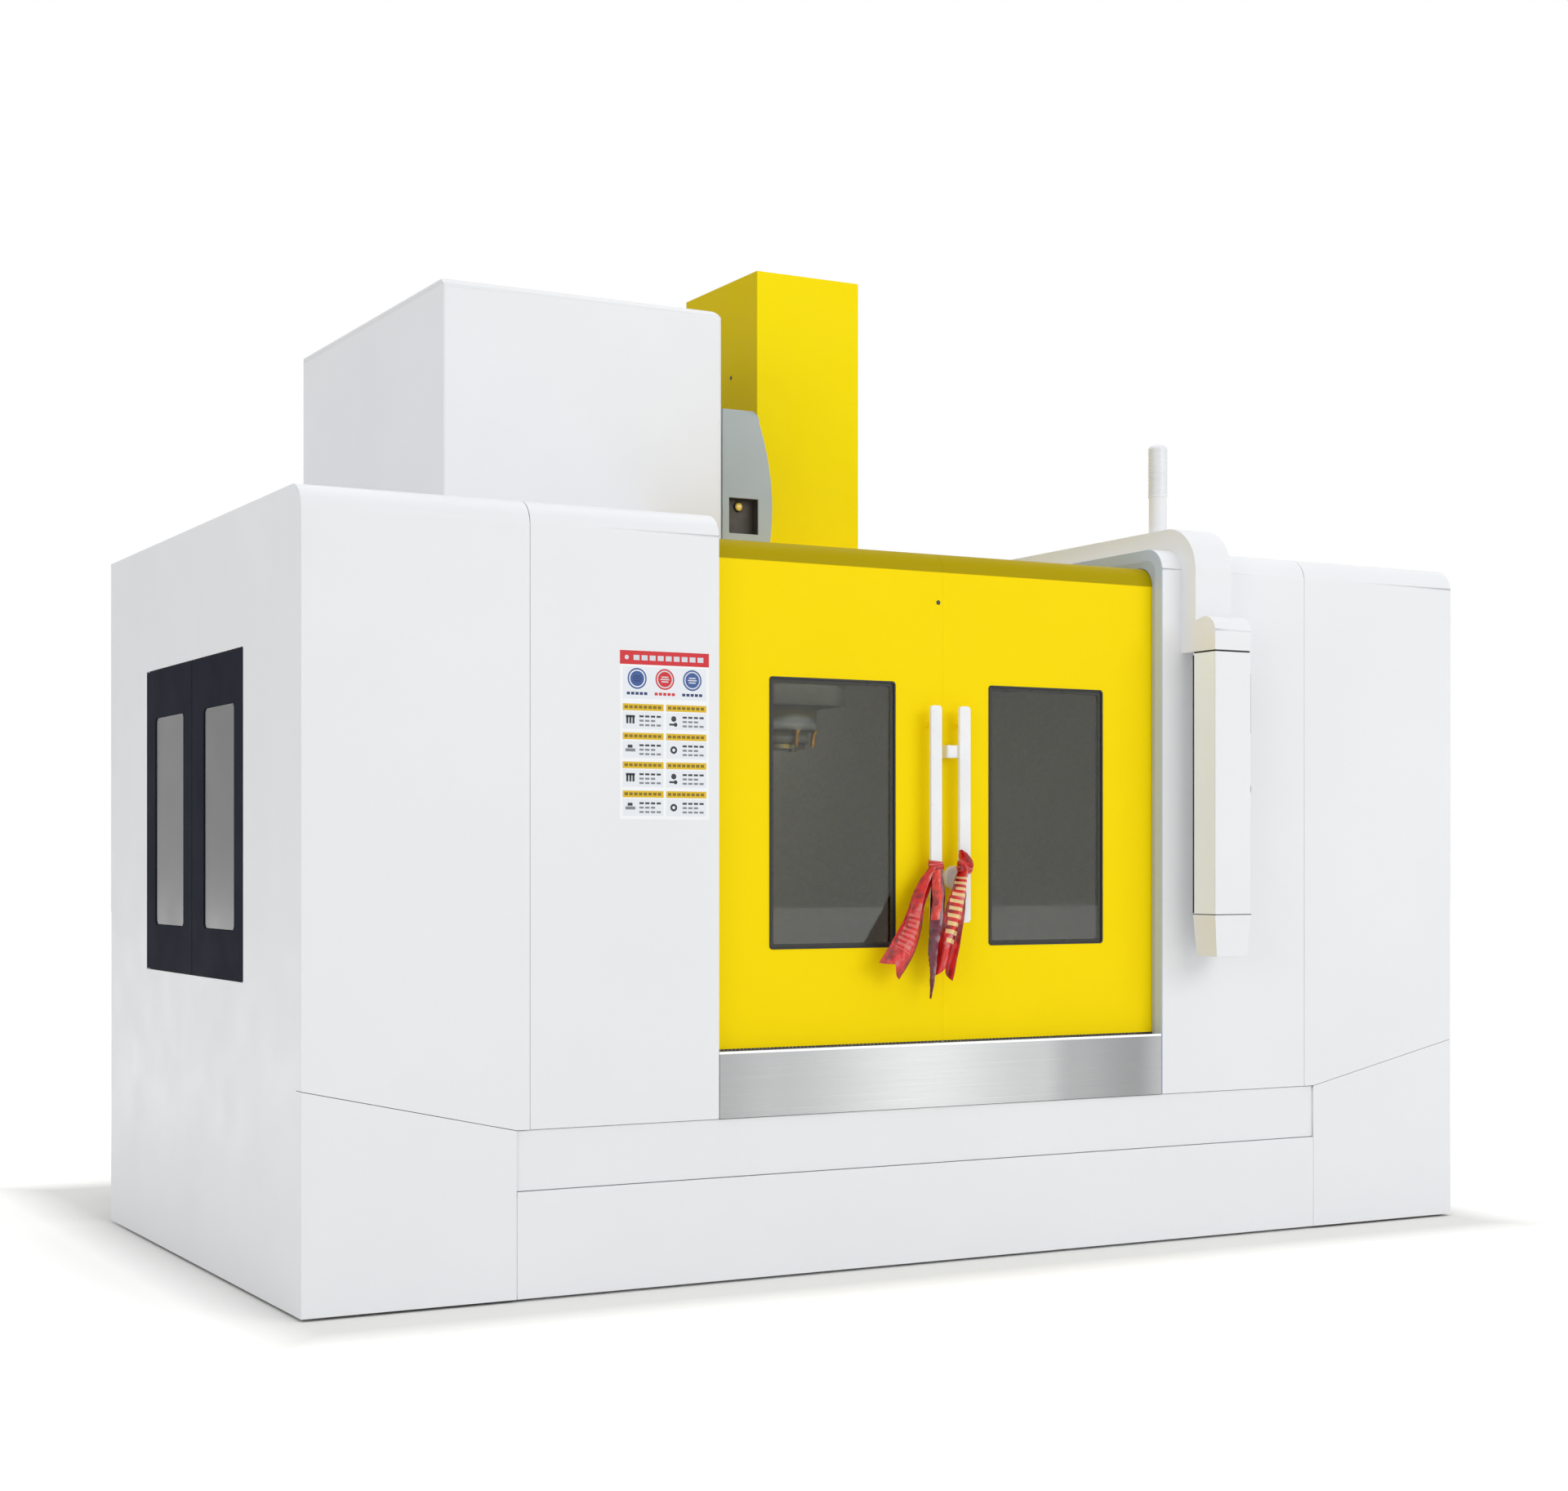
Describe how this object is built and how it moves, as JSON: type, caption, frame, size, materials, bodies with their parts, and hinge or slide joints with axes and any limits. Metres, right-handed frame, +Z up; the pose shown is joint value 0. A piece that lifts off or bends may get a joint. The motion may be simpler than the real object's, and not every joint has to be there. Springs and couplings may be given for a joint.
{
  "type": "cnc machining center",
  "caption": "Vertical machining center with a full white guard, yellow sliding doors and spindle cover, side tool magazine, swivelling operator panel and T-slot table.",
  "frame": {"origin": "on the floor, at the middle of the footprint", "axes": "+X to the operator's right along the guard, +Y from the front doors to the back, +Z up"},
  "size_m": [4.5, 3.467, 3.512],
  "materials": {
    "white_paint": "satin",
    "yellow_paint": "satin",
    "gray_paint": "satin",
    "dark_paint": "satin",
    "casting_paint": "matte",
    "ground_iron": "satin",
    "stainless": "satin",
    "machined_steel": "satin",
    "galvanised": "matte",
    "motor_black": "satin",
    "tinted_glass": "gloss",
    "gray_glass": "gloss",
    "oil_glass": "gloss",
    "lamp_plastic": "gloss",
    "black_plastic": "matte",
    "red_plastic": "gloss",
    "green_plastic": "gloss",
    "screen_glass": "gloss",
    "white_plastic": "satin",
    "red_ribbon": "satin"
  },
  "bodies": {
    "machine": {"levelling_feet": "galvanised", "bed": "casting_paint", "column": "casting_paint", "guide_rails": "machined_steel", "base_lower_cover": "white_paint", "base_upper_cover": "white_paint", "skirts": "white_paint", "wing_left": "white_paint", "wing_right": "white_paint", "inner_panel_left": "white_paint", "inner_panel_right": "white_paint", "sill_panel": "stainless", "door_tracks": "stainless", "inner_guards": "galvanised", "magazine_guard": "white_paint", "changer_housing": "gray_paint", "sight_glass": "oil_glass", "arm_cover": "white_paint", "signal_pole": "white_paint", "signal_lens": "lamp_plastic", "control_cabinet": "white_paint", "coolant_tank": "white_paint", "axis_motors": "motor_black", "leaf_hinge_pins": "machined_steel", "way_cover_front": "stainless", "way_cover_rear": "stainless"},
    "door_left": {"door_left": "yellow_paint", "door_glass_left": "tinted_glass", "handle_left": "white_plastic", "ribbon_left": "red_ribbon"},
    "door_right": {"door_right": "yellow_paint", "door_glass_right": "tinted_glass", "handle_right": "white_plastic", "door_locks": "white_plastic", "ribbon_right": "red_ribbon"},
    "side_leaf_front": {"side_leaf_front": "dark_paint", "side_glass_front": "gray_glass"},
    "side_leaf_rear": {"side_leaf_rear": "dark_paint", "side_glass_rear": "gray_glass"},
    "saddle": {"saddle": "casting_paint", "x_motor": "motor_black"},
    "table": {"table": "ground_iron"},
    "head": {"head": "casting_paint", "head_cover": "yellow_paint"},
    "spindle": {"spindle": "machined_steel"},
    "x_screw": {"x_screw": "machined_steel"},
    "y_screw": {"y_screw": "machined_steel"},
    "z_screw": {"z_screw": "machined_steel"},
    "magazine": {"tool_disc": "machined_steel"},
    "change_pot": {"change_pot": "black_plastic"},
    "changer_turret": {"changer_turret": "machined_steel"},
    "changer_arm": {"changer_arm": "machined_steel"},
    "pendant": {"pendant_box": "white_paint", "pendant_screen": "screen_glass"},
    "stop_button": {"stop_button": "red_plastic"},
    "start_button": {"start_button": "green_plastic"},
    "mode_knob": {"mode_knob": "black_plastic"},
    "hand_wheel": {"hand_wheel": "black_plastic"},
    "cabinet_door": {"cabinet_door": "white_paint"},
    "main_switch": {"main_switch": "red_plastic"}
  },
  "joints": [
    {"name": "door_left_slide", "type": "slide", "parent": "machine", "child": "door_left", "axis": [-1, 0, 0], "range_m": [0, 0.74]},
    {"name": "door_right_slide", "type": "slide", "parent": "machine", "child": "door_right", "axis": [1, 0, 0], "range_m": [0, 0.74]},
    {"name": "side_leaf_front_hinge", "type": "hinge", "parent": "machine", "child": "side_leaf_front", "pos_m": [-2.243, -0.9435, 1.49], "axis": [0, 0, 1], "range_deg": [0, 100]},
    {"name": "side_leaf_rear_hinge", "type": "hinge", "parent": "machine", "child": "side_leaf_rear", "pos_m": [-2.243, 0.2045, 1.49], "axis": [0, 0, -1], "range_deg": [0, 100]},
    {"name": "saddle_slide", "type": "slide", "parent": "machine", "child": "saddle", "axis": [0, 1, 0], "range_m": [-0.45, 0.45], "deforming": ["way_cover_front", "way_cover_rear"]},
    {"name": "table_slide", "type": "slide", "parent": "saddle", "child": "table", "axis": [1, 0, 0], "range_m": [-0.9, 0.9]},
    {"name": "head_slide", "type": "slide", "parent": "machine", "child": "head", "axis": [0, 0, 1], "range_m": [-0.8, 0]},
    {"name": "spindle_turn", "type": "hinge", "parent": "head", "child": "spindle", "pos_m": [0, -0.3485, 1.9], "axis": [0, 0, 1], "continuous": true},
    {"name": "x_screw_turn", "type": "hinge", "parent": "saddle", "child": "x_screw", "pos_m": [0, -0.3485, 0.658], "axis": [1, 0, 0], "continuous": true},
    {"name": "y_screw_turn", "type": "hinge", "parent": "machine", "child": "y_screw", "pos_m": [0, 0, 0.458], "axis": [0, 1, 0], "continuous": true},
    {"name": "z_screw_turn", "type": "hinge", "parent": "machine", "child": "z_screw", "pos_m": [0, 0.6085, 1.9], "axis": [0, 0, 1], "continuous": true},
    {"name": "magazine_turn", "type": "hinge", "parent": "machine", "child": "magazine", "pos_m": [-0.7, -0.3485, 2.49], "axis": [1, 0, 0], "continuous": true},
    {"name": "change_pot_tilt", "type": "hinge", "parent": "magazine", "child": "change_pot", "pos_m": [-0.8, -0.3485, 1.93], "axis": [0, -1, 0], "range_deg": [0, 90]},
    {"name": "changer_arm_swing", "type": "hinge", "parent": "machine", "child": "changer_turret", "pos_m": [-0.4, -0.3485, 1.95], "axis": [0, 0, -1], "range_deg": [0, 270]},
    {"name": "changer_arm_drop", "type": "slide", "parent": "changer_turret", "child": "changer_arm", "axis": [0, 0, 1], "range_m": [-0.12, 0]},
    {"name": "pendant_swing", "type": "hinge", "parent": "machine", "child": "pendant", "pos_m": [1.047, -1.6715, 2.08], "axis": [0, 0, -1], "range_deg": [0, 120]},
    {"name": "stop_button_press", "type": "slide", "parent": "pendant", "child": "stop_button", "axis": [-1, 0, 0], "range_m": [0, 0.004], "stiffness_N_per_m": 900},
    {"name": "start_button_press", "type": "slide", "parent": "pendant", "child": "start_button", "axis": [-1, 0, 0], "range_m": [0, 0.004], "stiffness_N_per_m": 600},
    {"name": "mode_knob_turn", "type": "hinge", "parent": "pendant", "child": "mode_knob", "pos_m": [1.127, -1.6715, 1.48], "axis": [1, 0, 0], "range_deg": [-60, 60]},
    {"name": "hand_wheel_turn", "type": "hinge", "parent": "pendant", "child": "hand_wheel", "pos_m": [1.127, -1.6715, 1.6], "axis": [1, 0, 0], "continuous": true},
    {"name": "cabinet_door_hinge", "type": "hinge", "parent": "machine", "child": "cabinet_door", "pos_m": [2.069, 1.3175, 1.27], "axis": [0, 0, -1], "range_deg": [0, 120]},
    {"name": "main_switch_turn", "type": "hinge", "parent": "cabinet_door", "child": "main_switch", "pos_m": [1.06, 1.3435, 1.72], "axis": [0, 1, 0], "range_deg": [0, 90]}
  ],
  "couplings": [
    {"joint": "x_screw_turn", "follows": "table_slide", "rad_per_m": 392.7},
    {"joint": "y_screw_turn", "follows": "saddle_slide", "rad_per_m": 392.7},
    {"joint": "z_screw_turn", "follows": "head_slide", "rad_per_m": 392.7}
  ]
}
